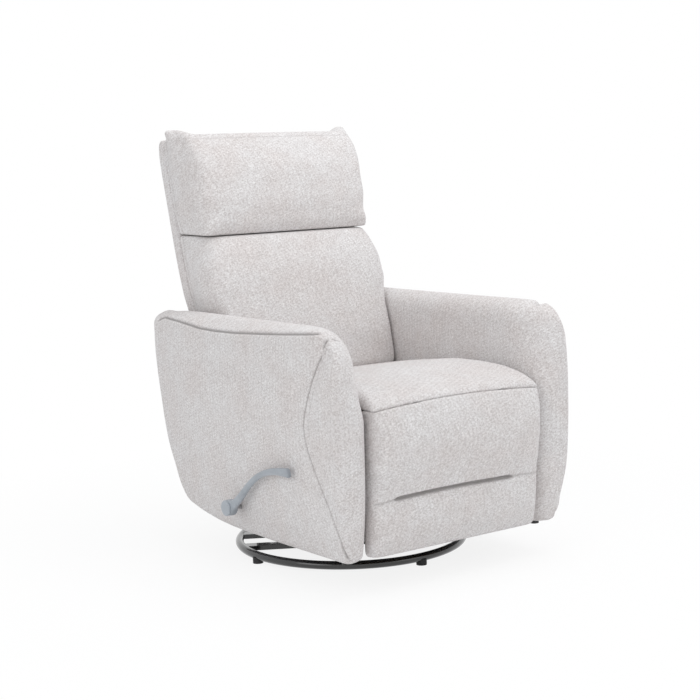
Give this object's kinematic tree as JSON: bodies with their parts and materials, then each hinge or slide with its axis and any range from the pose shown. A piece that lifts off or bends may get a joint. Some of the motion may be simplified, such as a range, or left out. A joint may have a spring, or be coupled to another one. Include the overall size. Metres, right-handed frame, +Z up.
{
  "type": "glider nursery chair",
  "caption": "Upholstered swivel glider chair with a tall lean-back cushion and headrest, rounded arms, a fold-out footrest worked by a side lever, and a ring base.",
  "frame": {"origin": "on the floor, on the swivel axis, at the centre of the base ring", "axes": "+Z up along the swivel axis, -Y the way the sitter faces, +X to the sitter's left"},
  "size_m": [0.741, 0.9155, 1.0757],
  "materials": {
    "gloss_black": "gloss black powder coat",
    "black_steel": "satin black",
    "grey_steel": "zinc plated, satin",
    "bright_steel": "bright",
    "black_rubber": "matt",
    "black_plastic": "matt",
    "timber": "bare plywood and softwood",
    "upholstery": "heathered light warm grey weave",
    "webbing": "woven elastic webbing",
    "grey_plastic": "satin light grey"
  },
  "bodies": {
    "base": {"base_ring": "gloss_black", "foot_pads": "black_rubber", "base_bolts": "bright_steel", "swivel_plate_lower": "grey_steel", "swivel_balls": "bright_steel"},
    "turntable": {"swivel_plate_upper": "grey_steel", "swivel_pin": "bright_steel", "glider_channels": "black_steel", "turntable_bolts": "bright_steel", "glider_frame_left": "black_steel", "glider_frame_right": "black_steel", "hang_pins": "bright_steel", "glide_bumpers": "black_rubber"},
    "front_swing_links": {"glide_link_front_left": "grey_steel", "glide_link_front_right": "grey_steel"},
    "rear_swing_links": {"glide_link_rear_left": "grey_steel", "glide_link_rear_right": "grey_steel"},
    "chassis": {"side_plate_left": "grey_steel", "side_plate_right": "grey_steel", "chassis_pins": "bright_steel", "front_stretcher": "black_steel", "rear_stretcher": "black_steel", "seat_frame": "timber", "seat_springs": "bright_steel", "seat_cushion": "upholstery", "arm_left": "upholstery", "arm_right": "upholstery", "arm_frame_left": "timber", "arm_frame_right": "timber", "arm_rails": "timber", "arm_glides": "black_plastic", "rear_skirt": "upholstery"},
    "lever_shaft": {"torque_tube": "grey_steel", "lever": "grey_plastic", "lever_cap": "grey_plastic", "crank_left": "grey_steel", "crank_right": "grey_steel"},
    "drive_links": {"drive_link_left": "grey_steel", "drive_link_right": "grey_steel"},
    "rear_links": {"rear_link_left": "grey_steel", "rear_link_right": "grey_steel"},
    "control_links": {"control_link_left": "grey_steel", "control_link_right": "grey_steel"},
    "front_links": {"front_link_left": "grey_steel", "front_link_right": "grey_steel"},
    "tie_links": {"tie_link_left": "grey_steel", "tie_link_right": "grey_steel"},
    "footrest": {"footrest_bracket_left": "grey_steel", "footrest_bracket_right": "grey_steel", "footrest_board": "timber", "footrest_pad": "upholstery"},
    "back": {"back_bracket_left": "grey_steel", "back_bracket_right": "grey_steel", "back_frame": "timber", "back_springs": "webbing", "back_shell": "upholstery", "back_cushion": "upholstery", "headrest": "upholstery"}
  },
  "joints": [
    {"name": "swivel", "type": "hinge", "parent": "base", "child": "turntable", "pos_m": [0, 0, 0], "axis": [0, 0, 1], "continuous": true},
    {"name": "glide", "type": "hinge", "parent": "turntable", "child": "front_swing_links", "pos_m": [0, -0.15, 0.195], "axis": [1, 0, 0], "range_deg": [-26, 26]},
    {"name": "glide_chassis", "type": "hinge", "parent": "front_swing_links", "child": "chassis", "pos_m": [0, -0.15, 0.09], "axis": [1, 0, 0], "range_deg": [-26.02, 26.02]},
    {"name": "glide_rear", "type": "hinge", "parent": "turntable", "child": "rear_swing_links", "pos_m": [0, 0.15, 0.195], "axis": [1, 0, 0], "range_deg": [-26.02, 26.02]},
    {"name": "footrest_extend", "type": "hinge", "parent": "chassis", "child": "rear_links", "pos_m": [0, -0.3, 0.334], "axis": [-1, 0, 0], "range_deg": [0, 100.84]},
    {"name": "footrest_knee", "type": "hinge", "parent": "rear_links", "child": "front_links", "pos_m": [0, -0.16779, 0.15816], "axis": [-1, 0, 0], "range_deg": [-86.36, 0]},
    {"name": "footrest_tilt", "type": "hinge", "parent": "front_links", "child": "footrest", "pos_m": [0, -0.372, 0.24], "axis": [-1, 0, 0], "range_deg": [0, 71.52]},
    {"name": "control_pivot", "type": "hinge", "parent": "chassis", "child": "control_links", "pos_m": [0, -0.289, 0.294], "axis": [-1, 0, 0], "range_deg": [0, 98.87]},
    {"name": "tie_pivot", "type": "hinge", "parent": "rear_links", "child": "tie_links", "pos_m": [0, -0.15985, 0.19203], "axis": [-1, 0, 0], "range_deg": [-86.18, 0]},
    {"name": "lever_turn", "type": "hinge", "parent": "chassis", "child": "lever_shaft", "pos_m": [0, -0.008, 0.155], "axis": [-1, 0, 0], "range_deg": [0, 100.02]},
    {"name": "drive_pivot", "type": "hinge", "parent": "lever_shaft", "child": "drive_links", "pos_m": [0, -0.00209, 0.11544], "axis": [-1, 0, 0], "range_deg": [-100, 0]},
    {"name": "recline", "type": "hinge", "parent": "chassis", "child": "back", "pos_m": [0, 0.23, 0.33], "axis": [-1, 0, 0], "range_deg": [0, 32]}
  ],
  "couplings": [
    {"joint": "glide_chassis", "follows": "glide", "ratio": -1},
    {"joint": "glide_rear", "follows": "glide", "ratio": 1},
    {"joint": "footrest_knee", "follows": "footrest_extend", "ratio": -0.85621},
    {"joint": "footrest_tilt", "follows": "footrest_extend", "ratio": 0.70904},
    {"joint": "control_pivot", "follows": "footrest_extend", "ratio": 0.98027},
    {"joint": "tie_pivot", "follows": "footrest_extend", "ratio": -0.85442},
    {"joint": "lever_turn", "follows": "footrest_extend", "ratio": 0.99167},
    {"joint": "drive_pivot", "follows": "footrest_extend", "ratio": -0.99147}
  ]
}
